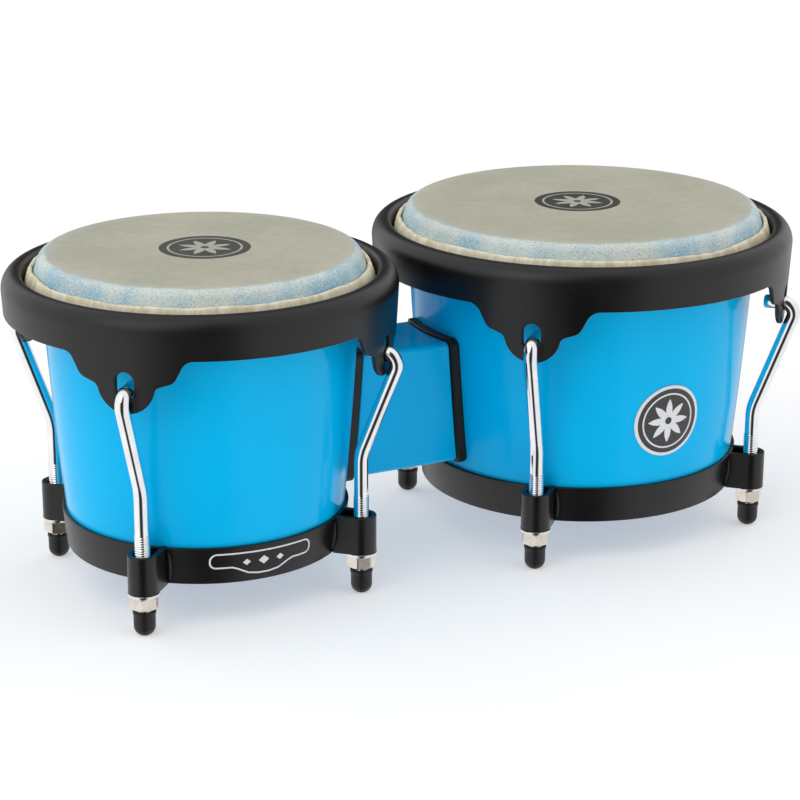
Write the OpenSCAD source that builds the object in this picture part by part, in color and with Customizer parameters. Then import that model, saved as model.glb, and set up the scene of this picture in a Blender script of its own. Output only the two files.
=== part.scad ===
// Bongo drums: two tapered moulded shells of different size, joined side by
// side by a centre block. Millimetres, +Z up. The pair stands on the rubber
// caps of its tension rods: z = 0 is their lowest face, and the origin is the
// centre of the footprint. The small drum (macho) is at -X, the large one
// (hembra) at +X.

/* [Drum sizes] */
// Radius of the small shell at its bearing edge
macho_r = 81.2; // [76:0.1:86]
// Radius of the large shell at its bearing edge
hembra_r = 95.0; // [90:0.1:100]
// Distance between the two drum axes
drum_spacing = 224; // [222:0.5:232]
// Height of the playing surface above the feet
head_z = 175.9; // [173:0.1:179]
// Wall thickness of the moulded shells
shell_wall = 5; // [4:0.25:6]
// Radius of the rounded bearing edge
edge_r = 4.7; // [3.5:0.1:4.9]
// Turn of the small drum's hardware about its axis, in degrees
macho_clock = 0.75; // [-2:0.25:2]
// Turn of the large drum's hardware about its axis, in degrees
hembra_clock = 1.75; // [-2:0.25:2]

/* [Heads] */
// Thickness of the natural skin
skin_t = 0.9; // [0.7:0.05:1.1]
// Diameter of the steel flesh hoop's wire
hoop_wire_d = 6; // [5.5:0.1:6.4]

/* [Rims] */
// Thickness of the rim's steel
rim_t = 2.4; // [2:0.1:2.6]
// Height of the rim's rounded crest above the feet
rim_crest_z = 167.3; // [166.8:0.1:168]
// Width of the slot for the rod's hook
slot_w = 9.4; // [9.2:0.1:10]
// Turn of a rim against its rods, in degrees: the hooks have play in their slots
rim_turn = -0.35; // [-0.35:0.05:0.35]
// How much lower the large rim's ears and hooks are than the small rim's
hembra_drop = 1.4; // [0:0.1:2]

/* [Tension rods] */
// Diameter of the plain part of a rod (rolled thread, so it is the pitch diameter)
rod_d = 7.2; // [7:0.05:7.4]
// Outer diameter of the rod's M8 thread
thread_d = 8; // [7.9:0.05:8]
// Height of the bend to vertical, small drum
macho_bend_z = 75; // [70:1:80]
// Height of the bend to vertical, large drum
hembra_bend_z = 67; // [64:1:74]

/* [Bottom rings] */
// Height of the steel band
band_h = 20; // [18:0.5:22]
// Thickness of the band
band_t = 2; // [1.6:0.1:2.4]
// Outer width of a lug strap
lug_w = 15.5; // [15.5:0.5:17]
// Thickness of a lug strap
lug_t = 2.8; // [2.4:0.1:3]

/* [Nuts, washers and feet] */
// Nut width across flats (M8)
nut_af = 13; // [12.5:0.1:13]
// Nut height
nut_h = 6.5; // [6:0.1:6.8]
// Washer outer diameter (M8)
washer_od = 16; // [15:0.5:17]
// Washer thickness
washer_t = 1.6; // [1.2:0.1:1.8]
// Rubber cap diameter
cap_d = 11; // [10.4:0.1:11.6]
// Rubber cap height
cap_h = 13; // [12:0.1:13.2]

/* [Centre block] */
// Depth of the block, front to back
block_depth = 47.5; // [44:0.5:50]
// Height of the block's lower face above the feet
block_z0 = 48; // [46:0.5:52]
// Height of the block's upper face above the feet
block_z1 = 115; // [110:0.5:118]
// Thickness of the rubber gaskets
gasket_t = 5; // [4:0.25:5.5]
// How far a gasket stands out past the block
gasket_lip = 1.5; // [1:0.25:2]
// Diameter of the two through bolts (M6)
bolt_d = 6; // [5.8:0.1:6]

/* [Hidden] */
$fn = 96;
eps = 0.01;

// Radial steps outward from the shell's bearing-edge radius
rim_off = 19.1;      // rim, outer face at its shoulder
hoop_off = 9.8;      // flesh hoop, wire centre
lip_off = 8.3;       // rim, inner face of its inner wall
macho_rod_off = 3.7; // vertical part of a rod, small drum
hembra_rod_off = 2.8;// vertical part of a rod, large drum

rim_tan = 0.055;     // inward lean of the skirt, per mm of height
shoulder_z = 158;    // widest height of the rim
skirt_z = 146;       // lower edge of the skirt between the ears
ear_z = 118.3;       // lowest point of an ear
hoop_z = 152;        // wire centre height
crest_r = 8.6;       // outer shoulder radius
hook_z = 129.5;      // height of the hook's end
hook_r = 6;          // bend radius of the hook, on its centre line
slot_z0 = hook_z - rod_d/2 - 0.5;    // lower end of the slot, just below the rod
slot_h = 14;
cap_wall_z = 3;      // rubber under the rod's end
band_z0 = cap_h + 1.3 + nut_h + washer_t; // lower edge of the band
band_z1 = band_z0 + band_h;
shell_z0 = band_z0 + 1;
edge_z = head_z - skin_t;            // top of the shell
collar_tan = 0.353;                  // outward slope of the collar

// The pair's bounding box is centred on x = 0
macho_x = -drum_spacing/2 - (hembra_r - macho_r)/2;
hembra_x = drum_spacing/2 - (hembra_r - macho_r)/2;
drum_axis_z = (block_z0 + block_z1)/2;

// Outer radius of a shell at height z, below its bearing edge
function taper(z) = 0.045*(170 - z) + 0.0002*(170 - z)*(170 - z);
function shell_rz(r, z) = r - taper(z);
function arc(cx, cy, r, a0, a1, n) = [for (i = [0:n]) let (a = a0 + (a1 - a0)*i/n) [cx + r*cos(a), cy + r*sin(a)]];
function mirror_x(p) = [for (i = [len(p)-1:-1:0]) [-p[i][0], p[i][1]]];

wall_z = [shell_z0, band_z0 + 10, band_z1, 54, 68, 84, 100, 116, 132, 148, 160, edge_z - edge_r];
module at_macho() translate([macho_x, 0, 0]) children();
module at_hembra() translate([hembra_x, 0, 0]) children();
// The four hardware places: 0 rear right, 1 rear left, 2 front left, 3 front right
module at_rod(i, clock) rotate([0, 0, 45 + clock + 90*i]) children();

// ---------- shells ----------
// Hollow, tapered, open at the bottom, with a rounded bearing edge
module shell_solid(r, grow) {
  rotate_extrude()
    polygon(concat([[0, shell_z0 - 1]], [[shell_rz(r, shell_z0 - 1) + grow, shell_z0 - 1]],
      [for (z = wall_z) [shell_rz(r, z) + grow, z]], [[0, edge_z - edge_r]]));
}
module shell(r) {
  n = len(wall_z);
  er = shell_rz(r, edge_z - edge_r);
  difference() {
    rotate_extrude()
      polygon(concat(
        [for (z = wall_z) [shell_rz(r, z), z]],
        arc(er - edge_r, edge_z - edge_r, edge_r, 8, 90, 8),
        [[er - edge_r - 1.2, edge_z - 0.9], [er - shell_wall - 1.6, edge_z - 9]],
        [for (i = [n-2:-1:0]) [shell_rz(r, wall_z[i]) - shell_wall, wall_z[i]]]));
    children();
  }
}
// The two bolt holes toward the block; dir is +1 toward +X and -1 toward -X
module bolt_holes(d) {
  for (z = bolt_zs) translate([macho_x, 0, z]) rotate([0, 90, 0]) cylinder(d = d, h = drum_spacing);
}
bolt_zs = [drum_axis_z - 18, drum_axis_z + 18];

module macho_shell() color([0.02, 0.62, 0.86]) difference() {
  at_macho() shell(macho_r);
  bolt_holes(bolt_d + 0.6);
}
module hembra_shell() color([0.02, 0.62, 0.86]) difference() {
  at_hembra() shell(hembra_r);
  bolt_holes(bolt_d + 0.6);
}

// ---------- heads ----------
// Playing skin: flat, round over the bearing edge, sloping collar outside it
module head(r) {
  er = shell_rz(r, edge_z - edge_r);
  cz = edge_z - edge_r;
  ro = edge_r + skin_t;
  zb = 166.4;         // the skin's hidden part below this belongs to the tuck, which moves
  rotate_extrude()
    polygon(concat(
      [[0, edge_z], [0, head_z]],
      arc(er - edge_r, cz, ro, 90, 19.4, 8),
      [[er - edge_r + ro*cos(19.4) + (cz + ro*sin(19.4) - zb)*collar_tan, zb],
       [er - edge_r + ro*cos(19.4) + (cz + ro*sin(19.4) - zb)*collar_tan - skin_t, zb]],
      arc(er - edge_r, cz, edge_r, 19.4, 90, 8)));
}
module macho_head() color([0.75, 0.74, 0.68]) at_macho() head(macho_r);
module hembra_head() color([0.75, 0.74, 0.68]) at_hembra() head(hembra_r);

// Skin wrapped round the flesh hoop, with its trimmed flap standing inside the rim
module skin_tuck(r) {
  hr = r + hoop_off;
  w = hoop_wire_d/2 + 1;
  rotate_extrude() difference() {
    polygon(concat(
      [[r + 6.75, hoop_z + 4.8], [r + 2.99, 167.45], [r + 3.3, 168.3], [r + 4.7, 168.2], [r + 5.4, 166.8], [r + 7.95, hoop_z + 5.2]],
      arc(hr, hoop_z, w, 115, -188, 28)));
    translate([hr, hoop_z]) circle(d = hoop_wire_d, $fn = 48);
  }
}
module macho_skin_tuck() color([0.80, 0.74, 0.60]) at_macho() skin_tuck(macho_r);
module hembra_skin_tuck() color([0.80, 0.74, 0.60]) at_hembra() skin_tuck(hembra_r);

// Steel wire ring inside the tuck
module flesh_hoop(r) rotate_extrude() translate([r + hoop_off, hoop_z]) circle(d = hoop_wire_d, $fn = 48);
module macho_flesh_hoop() color([0.6, 0.6, 0.6]) at_macho() flesh_hoop(macho_r);
module hembra_flesh_hoop() color([0.6, 0.6, 0.6]) at_hembra() flesh_hoop(hembra_r);

// ---------- rims ----------
// Outer face of the skirt at height z
function rim_rz(r, z) = r + rim_off - (shoulder_z - z)*rim_tan;
// Half of the ear's outline, from the skirt's lower edge to the middle of the lobe;
// the ear's shape hangs lower by drop
function ear_half(drop) = concat(
  [[44, skirt_z + 4], [44, skirt_z + 0.8]],
  arc(33.5, 140.3 - drop, 6, 90, 154.2, 6),
  arc(20, 140 - drop, 6, -25.8, -72, 5),
  arc(18.4, 128.95 - drop, 4, 108, 167, 5),
  arc(0, ear_z + 14.9 - drop, 14.9, -13, -80, 9),
  [[0, ear_z - drop]]);
module ear_outline(drop) polygon(concat(ear_half(drop), mirror_x(ear_half(drop))));
module slot_outline() polygon(concat(
  arc(0, slot_z0 + slot_w/2, slot_w/2, 180, 360, 12),
  arc(0, slot_z0 + slot_h - slot_w/2, slot_w/2, 0, 180, 12)));
module rim(r, clock, drop) {
  ri = r + lip_off;
  ro = r + rim_off;
  zc = rim_crest_z;
  difference() {
    // rolled crest, inner wall and a skirt as deep as the ears
    rotate_extrude()
      polygon(concat(
        [[ri, 156.1], [ri, zc - 4.2]],
        arc(ri + 4.2, zc - 4.2, 4.2, 168, 100, 4),
        arc(ro - crest_r, zc - crest_r, crest_r, 84, 6, 8),
        [[ro, shoulder_z], [rim_rz(r, ear_z - 3), ear_z - 3], [rim_rz(r, ear_z - 3) - rim_t, ear_z - 3],
         [ro - rim_t, shoulder_z]],
        arc(ro - crest_r, zc - crest_r, crest_r - rim_t, 6, 84, 6),
        arc(ri + 4.2, zc - 4.2, 4.2 - rim_t, 100, 168, 3),
        [[ri + rim_t, zc - 4.6], [ri + rim_t, 156.1]]));
    // what is cut away between the four ears
    difference() {
      rotate_extrude() polygon([[r + 8, ear_z - 5], [r + 32, ear_z - 5], [r + 32, skirt_z - drop/2], [r + 8, skirt_z - drop/2]]);
      for (i = [0:3]) at_rod(i, clock + rim_turn) translate([r, 0, 0]) rotate([90, 0, 90]) linear_extrude(height = 40) ear_outline(drop);
    }
    // slots for the hooks
    for (i = [0:3]) at_rod(i, clock + rim_turn) translate([r, 0, -drop]) rotate([90, 0, 90]) linear_extrude(height = 40) slot_outline();
  }
}
module macho_rim() color([0.09, 0.09, 0.095]) at_macho() rim(macho_r, macho_clock, 0);
module hembra_rim() color([0.09, 0.09, 0.095]) at_hembra() rim(hembra_r, hembra_clock, hembra_drop);

// ---------- tension rods ----------
// One rod in its own radial plane: hooked end through the ear, tight bend over the
// slot's lower edge, slanting shaft, bend to vertical, M8 thread. rv is the radius of
// the vertical part and rh the radius of the hook's bend centre.
big = 26;            // radius of the bend to vertical
rod_sides = 12;
// Slant angle by repeated correction: the shaft leaves the hook's bend and meets the lower bend
function slant(rh, hz, rv, bz, a, n) = n == 0 ? a :
  let (p0 = [rh + hook_r*cos(a), hz - hook_r - hook_r*sin(a)],
       p1 = [rv + big*(1 - cos(a)), bz + big*sin(a) - big*tan(a/2)])
  slant(rh, hz, rv, bz, atan2(p0[0] - p1[0], p0[1] - p1[1]), n - 1);
// Centre line as [radius, height, tangent in radius, tangent in height]
function rod_path(rh, hz, rv, bz, tip) =
  let (a = slant(rh, hz, rv, bz, 20, 8), cz = bz - big*tan(a/2))
  concat([[rh - tip, hz, 1, 0]],
    [for (i = [0:9]) let (t = 90 - (90 + a)*i/9) [rh + hook_r*cos(t), hz - hook_r + hook_r*sin(t), sin(t), -cos(t)]],
    [for (i = [0:4]) let (t = a - a*i/4) [rv + big - big*cos(t), cz + big*sin(t), -sin(t), -cos(t)]],
    [[rv, 52, 0, -1]]);
module rod_shaft(path, d) {
  n = len(path);
  m = rod_sides;
  rr = d/2*sqrt(2*PI/(m*sin(360/m)));   // same area as the round rod
  polyhedron(
    points = [for (p = path) for (k = [0:m-1]) let (t = 360*(k + 0.5)/m, c = rr*cos(t), q = rr*sin(t)) [p[0] - p[3]*c, q, p[1] + p[2]*c]],
    faces = concat(
      [[for (k = [m-1:-1:0]) k]],
      [for (i = [0:n-2]) for (k = [0:m-1]) [(i + 1)*m + k, i*m + k, i*m + (k + 1) % m]],
      [for (i = [0:n-2]) for (k = [0:m-1]) [(i + 1)*m + (k + 1) % m, (i + 1)*m + k, i*m + (k + 1) % m]],
      [[for (k = [0:m-1]) (n - 1)*m + k]]));
}
module rod(rh, hz, rv, bend_z, tip) {
  rod_shaft(rod_path(rh, hz, rv, bend_z, tip), rod_d);
  translate([rv, 0, cap_wall_z]) cylinder(d = thread_d, h = 53 - cap_wall_z);
}
module tension_rods(r, off, bend_z, clock, drop) {
  rh = rim_rz(r, hook_z - drop) - 1.1;   // bend centre, within the ear's thickness
  for (i = [0:3]) at_rod(i, clock) rod(rh, hook_z - drop, r + off, bend_z, 10);
}
module macho_tension_rods() color([0.82, 0.83, 0.85]) at_macho() tension_rods(macho_r, macho_rod_off, macho_bend_z, macho_clock, 0);
module hembra_tension_rods() color([0.82, 0.83, 0.85]) at_hembra() tension_rods(hembra_r, hembra_rod_off, hembra_bend_z, hembra_clock, hembra_drop);

// ---------- feet ----------
// Rubber cap pushed on the rod's end: round end with a small flat, lip at the mouth
module foot_cap() difference() {
  rotate_extrude() polygon(concat(
    [[0, 0], [2.2, 0]],
    arc(cap_d/2 - 5, 4.71, 5, -70, 0, 7),
    [[cap_d/2, cap_h - 2.2], [cap_d/2 + 0.35, cap_h - 1.7], [cap_d/2 + 0.35, cap_h - 0.3], [cap_d/2, cap_h],
     [0, cap_h]]));
  translate([0, 0, cap_wall_z]) cylinder(d = thread_d, h = cap_h);
}
module foot_caps(r, off, clock) for (i = [0:3]) at_rod(i, clock) translate([r + off, 0, 0]) foot_cap();
module macho_foot_caps() color([0.04, 0.04, 0.045]) at_macho() foot_caps(macho_r, macho_rod_off, macho_clock);
module hembra_foot_caps() color([0.04, 0.04, 0.045]) at_hembra() foot_caps(hembra_r, hembra_rod_off, hembra_clock);

// ---------- washers and nuts ----------
module washers(r, off, clock) for (i = [0:3]) at_rod(i, clock) translate([r + off, 0, band_z0 - washer_t]) difference() {
  cylinder(d = washer_od, h = washer_t);
  translate([0, 0, -1]) cylinder(d = thread_d + 0.4, h = washer_t + 2);
}
module macho_washers() color([0.78, 0.78, 0.78]) at_macho() washers(macho_r, macho_rod_off, macho_clock);
module hembra_washers() color([0.78, 0.78, 0.78]) at_hembra() washers(hembra_r, hembra_rod_off, hembra_clock);

module nut(r, off, clock, i) at_rod(i, clock) translate([r + off, 0, band_z0 - washer_t - nut_h]) difference() {
  intersection() {
    rotate([0, 0, 30*(i % 2)]) cylinder(d = nut_af/cos(30), h = nut_h, $fn = 6);
    rotate_extrude() polygon([[0, 0], [nut_af/2 - 0.1, 0], [nut_af/2 + 1.3, 0.8], [nut_af/2 + 1.3, nut_h - 0.8], [nut_af/2 - 0.1, nut_h], [0, nut_h]]);
  }
  translate([0, 0, -1]) cylinder(d = thread_d + 0.1, h = nut_h + 2);
}
module macho_nut_rear_right() color([0.80, 0.76, 0.70]) at_macho() nut(macho_r, macho_rod_off, macho_clock, 0);
module macho_nut_rear_left() color([0.80, 0.76, 0.70]) at_macho() nut(macho_r, macho_rod_off, macho_clock, 1);
module macho_nut_front_left() color([0.80, 0.76, 0.70]) at_macho() nut(macho_r, macho_rod_off, macho_clock, 2);
module macho_nut_front_right() color([0.80, 0.76, 0.70]) at_macho() nut(macho_r, macho_rod_off, macho_clock, 3);
module hembra_nut_rear_right() color([0.80, 0.76, 0.70]) at_hembra() nut(hembra_r, hembra_rod_off, hembra_clock, 0);
module hembra_nut_rear_left() color([0.80, 0.76, 0.70]) at_hembra() nut(hembra_r, hembra_rod_off, hembra_clock, 1);
module hembra_nut_front_left() color([0.80, 0.76, 0.70]) at_hembra() nut(hembra_r, hembra_rod_off, hembra_clock, 2);
module hembra_nut_front_right() color([0.80, 0.76, 0.70]) at_hembra() nut(hembra_r, hembra_rod_off, hembra_clock, 3);

// ---------- bottom rings ----------
// Tapered steel band with four U-shaped lug straps, open inside, for the rods
module bottom_ring(r, off, clock) {
  rv = r + off;
  rb = shell_rz(r, band_z0 + 10);
  // the band is 0.3 shorter than the straps at each end
  zs = [band_z0 + 0.3, shell_z0, band_z0 + 10, band_z1 - 0.3];
  rotate_extrude() polygon(concat(
    [for (z = zs) [shell_rz(r, z) + band_t, z]],
    [for (i = [3:-1:0]) [shell_rz(r, zs[i]), zs[i]]]));
  // straps: their legs end half way into the band's wall
  difference() {
    for (i = [0:3]) at_rod(i, clock) translate([0, 0, band_z0]) linear_extrude(height = band_h) difference() {
      polygon(concat([[rb - 3, -lug_w/2]], arc(rv, 0, lug_w/2, -90, 90, 16), [[rb - 3, lug_w/2]]));
      polygon(concat([[rb - 5, -lug_w/2 + lug_t]], arc(rv, 0, lug_w/2 - lug_t, -90, 90, 16), [[rb - 5, lug_w/2 - lug_t]]));
    }
    rotate_extrude() polygon([[0, band_z0 - 1], [shell_rz(r, band_z0 - 1) + band_t/2, band_z0 - 1],
      [shell_rz(r, band_z1 + 1) + band_t/2, band_z1 + 1], [0, band_z1 + 1]]);
  }
}
module macho_bottom_ring() color([0.09, 0.09, 0.095]) at_macho() bottom_ring(macho_r, macho_rod_off, macho_clock);
module hembra_bottom_ring() color([0.09, 0.09, 0.095]) at_hembra() bottom_ring(hembra_r, hembra_rod_off, hembra_clock);

// ---------- badge ----------
// Thin round badge that follows the large shell's wall, facing the front
module hembra_badge() color([0.05, 0.05, 0.055]) at_hembra() intersection() {
  difference() {
    shell_solid(hembra_r, 0.8);
    shell_solid(hembra_r, 0);
  }
  rotate([0, 0, -89]) translate([hembra_r - 20, 0, 77]) rotate([0, 90, 0]) cylinder(r = 19.7, h = 30);
}

// ---------- centre block ----------
module rounded_bar(w, z0, z1, rad, len) {
  // bar along X, centred on y = 0
  translate([-len/2, 0, 0]) rotate([90, 0, 90]) linear_extrude(height = len) polygon(concat(
    arc(w/2 - rad, z1 - rad, rad, 0, 90, 6), arc(-w/2 + rad, z1 - rad, rad, 90, 180, 6),
    arc(-w/2 + rad, z0 + rad, rad, 180, 270, 6), arc(w/2 - rad, z0 + rad, rad, 270, 360, 6)));
}
block_mid = (macho_x + hembra_x + macho_r - hembra_r)/2;
module centre_block() color([0.02, 0.60, 0.84]) difference() {
  translate([block_mid, 0, 0]) rounded_bar(block_depth, block_z0, block_z1, 3, 110);
  at_macho() shell_solid(macho_r, gasket_t);
  at_hembra() shell_solid(hembra_r, gasket_t);
  bolt_holes(bolt_d + 0.6);
}
module gasket_blank(x, len) translate([x, 0, 0])
  rounded_bar(block_depth + 2*gasket_lip, block_z0 - gasket_lip, block_z1 + gasket_lip, 4, len);
module macho_gasket() color([0.03, 0.03, 0.035]) difference() {
  intersection() {
    at_macho() shell_solid(macho_r, gasket_t);
    gasket_blank(macho_x + macho_r - 8, 50);
  }
  at_macho() shell_solid(macho_r, 0);
  bolt_holes(bolt_d + 0.6);
}
module hembra_gasket() color([0.03, 0.03, 0.035]) difference() {
  intersection() {
    at_hembra() shell_solid(hembra_r, gasket_t);
    gasket_blank(hembra_x - hembra_r + 8, 50);
  }
  at_hembra() shell_solid(hembra_r, 0);
  bolt_holes(bolt_d + 0.6);
}

// ---------- fasteners of the block, inside the shells ----------
plate_t = 3;
plate_gap = 1;
washer6_t = 1.6;
// inner faces of the backing plates, flat, against the curved inside of each wall
macho_plate_x = macho_x + sqrt(pow(shell_rz(macho_r, block_z0) - shell_wall, 2) - 13*13) - plate_gap;
hembra_plate_x = hembra_x - sqrt(pow(shell_rz(hembra_r, block_z0) - shell_wall, 2) - 13*13) + plate_gap;
module plate(x, dir) difference() {
  translate([dir > 0 ? x - plate_t : x, -12, block_z0 + 4]) cube([plate_t, 24, block_z1 - block_z0 - 8]);
  bolt_holes(bolt_d + 0.6);
}
module macho_backing_plate() color([0.55, 0.55, 0.56]) plate(macho_plate_x, 1);
module hembra_backing_plate() color([0.55, 0.55, 0.56]) plate(hembra_plate_x, -1);
bolt_x0 = macho_plate_x - plate_t - washer6_t;
bolt_x1 = hembra_plate_x + plate_t + washer6_t;
// hex-headed bolts with the head in the small drum
module block_bolts() color([0.6, 0.6, 0.62]) for (z = bolt_zs) {
  translate([bolt_x0 - 4, 0, z]) rotate([0, 90, 0]) cylinder(d = 10/cos(30), h = 4, $fn = 6);
  translate([bolt_x0, 0, z]) rotate([0, 90, 0]) cylinder(d = bolt_d, h = bolt_x1 - bolt_x0 + 8);
}
module block_bolt_nuts() color([0.6, 0.6, 0.62]) for (z = bolt_zs) translate([bolt_x1, 0, z]) rotate([0, 90, 0]) difference() {
  cylinder(d = 10/cos(30), h = 5, $fn = 6);
  translate([0, 0, -1]) cylinder(d = bolt_d, h = 7);
}
module block_bolt_washers() color([0.65, 0.65, 0.66]) for (z = bolt_zs) for (x = [bolt_x0, bolt_x1 - washer6_t]) translate([x, 0, z]) rotate([0, 90, 0]) difference() {
  cylinder(d = 14, h = washer6_t);
  translate([0, 0, -1]) cylinder(d = bolt_d + 0.4, h = washer6_t + 2);
}

macho_shell();
macho_head();
macho_skin_tuck();
macho_flesh_hoop();
macho_rim();
macho_tension_rods();
macho_foot_caps();
macho_washers();
macho_bottom_ring();
macho_nut_rear_right();
macho_nut_rear_left();
macho_nut_front_left();
macho_nut_front_right();
hembra_shell();
hembra_head();
hembra_skin_tuck();
hembra_flesh_hoop();
hembra_rim();
hembra_tension_rods();
hembra_foot_caps();
hembra_washers();
hembra_bottom_ring();
hembra_nut_rear_right();
hembra_nut_rear_left();
hembra_nut_front_left();
hembra_nut_front_right();
hembra_badge();
centre_block();
macho_gasket();
hembra_gasket();
block_bolts();
block_bolt_nuts();
block_bolt_washers();
macho_backing_plate();
hembra_backing_plate();
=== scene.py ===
import math
import bpy
import bmesh
import numpy as np
from mathutils import Matrix, Vector
from mathutils.geometry import delaunay_2d_cdt


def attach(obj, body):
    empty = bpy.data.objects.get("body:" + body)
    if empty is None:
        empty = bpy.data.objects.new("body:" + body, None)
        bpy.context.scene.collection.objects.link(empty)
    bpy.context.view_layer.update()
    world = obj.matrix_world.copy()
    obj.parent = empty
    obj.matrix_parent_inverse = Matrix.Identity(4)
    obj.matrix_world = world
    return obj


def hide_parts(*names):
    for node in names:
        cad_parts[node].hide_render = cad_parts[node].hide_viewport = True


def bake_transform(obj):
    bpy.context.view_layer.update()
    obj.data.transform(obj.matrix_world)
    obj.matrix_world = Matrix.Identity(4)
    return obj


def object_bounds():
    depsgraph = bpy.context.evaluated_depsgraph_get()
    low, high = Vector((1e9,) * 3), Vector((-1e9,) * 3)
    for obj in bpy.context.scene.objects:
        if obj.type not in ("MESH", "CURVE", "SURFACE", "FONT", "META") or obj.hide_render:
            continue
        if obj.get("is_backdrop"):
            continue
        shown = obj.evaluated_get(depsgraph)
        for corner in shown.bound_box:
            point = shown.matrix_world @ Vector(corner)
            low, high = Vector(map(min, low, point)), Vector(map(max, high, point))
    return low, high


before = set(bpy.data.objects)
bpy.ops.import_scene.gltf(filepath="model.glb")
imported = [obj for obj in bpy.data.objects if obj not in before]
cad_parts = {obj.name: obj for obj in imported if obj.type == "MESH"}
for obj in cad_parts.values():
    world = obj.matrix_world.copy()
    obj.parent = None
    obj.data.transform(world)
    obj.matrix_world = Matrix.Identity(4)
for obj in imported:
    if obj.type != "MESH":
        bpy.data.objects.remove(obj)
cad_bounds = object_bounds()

# Lengths below are millimetres in the part's frame; make() turns them into metres.
MM = 0.001
PI = math.pi

# ---------------------------------------------------------------- sizes, as in the CAD
MACHO_X, HEMBRA_X = -118.9, 105.1
DRUMS = {
    "macho": dict(cx=MACHO_X, r=81.2, clock=0.75, rod=3.7, bend=75.0, seed=11, drop=0.0),
    "hembra": dict(cx=HEMBRA_X, r=95.0, clock=1.75, rod=2.8, bend=67.0, seed=29, drop=1.4),
}
PLACES = ["rear_right", "rear_left", "front_left", "front_right"]
HEAD_Z, EDGE_R, SKIN_T = 175.9, 4.7, 0.9
EDGE_Z = HEAD_Z - SKIN_T
RIM_OFF, RIM_T, RIM_TAN, SHOULDER_Z, SKIRT_Z, EAR_Z = 19.1, 2.4, 0.055, 158.3, 146.0, 118.3
HOOK_Z, HOOK_R, ROD_D, THREAD_D = 129.5, 6.0, 7.2, 8.0
SLOT_Z0, SLOT_H, SLOT_W, RIM_TURN = 125.4, 14.0, 9.4, math.radians(-0.35)
BAND_Z0, BAND_Z1, BAND_T = 22.4, 42.4, 2.0
SHELL_Z0, WALL = 23.4, 5.0
CAP_H, CAP_D = 13.0, 11.0


def shell_rz(r, z):
    return r - (0.045 * (170 - z) + 0.0002 * (170 - z) ** 2)


def rim_rz(r, z):
    return r + RIM_OFF - max(0.0, SHOULDER_Z - z) * RIM_TAN


def rod_angle(d, i):
    return math.radians(45 + d["clock"] + 90 * i)


# ---------------------------------------------------------------- mesh helpers
def join(parts):
    vs, fs, ms, n = [], [], [], 0
    for p in parts:
        v, f = np.asarray(p[0], float), p[1]
        m = p[2] if len(p) > 2 else 0
        vs.append(v)
        fs += [tuple(i + n for i in q) for q in f]
        ms += list(m) if isinstance(m, (list, tuple)) else [m] * len(f)
        n += len(v)
    return np.vstack(vs), fs, ms


def make(name, parts, mats, body, replaces=(), sharp=40, weld=2e-6, wn=True, flat=False):
    v, f, m = join(parts)
    me = bpy.data.meshes.new(name)
    me.from_pydata((v * MM).tolist(), [], f)
    me.polygons.foreach_set("material_index", np.array(m, np.int32))
    bm = bmesh.new()
    bm.from_mesh(me)
    bmesh.ops.remove_doubles(bm, verts=bm.verts, dist=weld)
    bmesh.ops.dissolve_degenerate(bm, edges=bm.edges, dist=weld)
    bmesh.ops.recalc_face_normals(bm, faces=bm.faces)
    lim = math.radians(sharp)
    for e in bm.edges:
        if len(e.link_faces) == 2 and e.calc_face_angle(0) > lim:
            e.smooth = False
    for q in bm.faces:
        q.smooth = not flat
    bm.to_mesh(me)
    bm.free()
    ob = bpy.data.objects.new(name, me)
    bpy.context.scene.collection.objects.link(ob)
    for mt in mats if isinstance(mats, (list, tuple)) else [mats]:
        me.materials.append(mt)
    if wn:
        w = ob.modifiers.new("wn", "WEIGHTED_NORMAL")
        w.keep_sharp = True
        w.weight = 60
    if body:
        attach(ob, body)
    if replaces:
        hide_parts(*replaces)
    return ob


def revolve(prof, n, cx=0.0, cy=0.0, a0=0.0, closed=True, fn=None):
    """Solid of revolution of (radius, z) points about a vertical axis; fn may shift a point by angle."""
    a = a0 + np.arange(n) * 2 * PI / n
    ca, sa = np.cos(a), np.sin(a)
    verts, idx = [], []
    for k, (R, z) in enumerate(prof):
        if R < 1e-9:
            idx.append([len(verts)] * n)
            verts.append((cx, cy, z))
            continue
        rr, zz = (np.full(n, R), np.full(n, float(z))) if fn is None else fn(k, a, R, z)
        b = len(verts)
        verts += list(zip((cx + rr * ca).tolist(), (cy + rr * sa).tolist(), zz.tolist()))
        idx.append(list(range(b, b + n)))
    faces = []
    m = len(prof)
    for k in range(m if closed else m - 1):
        A, B = idx[k], idx[(k + 1) % m]
        for j in range(n):
            q = []
            for t in (A[j], A[(j + 1) % n], B[(j + 1) % n], B[j]):
                if t not in q:
                    q.append(t)
            if len(q) > 2:
                faces.append(tuple(q))
    return verts, faces


def fillet(pts, seg=4):
    """Closed polygon of (x, y, radius) with its corners rounded."""
    out, n = [], len(pts)
    for i in range(n):
        p, r = np.array(pts[i][:2], float), pts[i][2]
        if r <= 0:
            out.append(tuple(p))
            continue
        u = np.array(pts[i - 1][:2], float) - p
        v = np.array(pts[(i + 1) % n][:2], float) - p
        u, v = u / np.linalg.norm(u), v / np.linalg.norm(v)
        half = math.acos(max(-1, min(1, float(u @ v)))) / 2
        c = p + (u + v) / np.linalg.norm(u + v) * r / math.sin(half)
        s, e = p + u * r / math.tan(half) - c, p + v * r / math.tan(half) - c
        t0, t1 = math.atan2(s[1], s[0]), math.atan2(e[1], e[0])
        d = (t1 - t0 + PI) % (2 * PI) - PI
        for k in range(seg + 1):
            t = t0 + d * k / seg
            out.append((c[0] + r * math.cos(t), c[1] + r * math.sin(t)))
    return out


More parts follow.
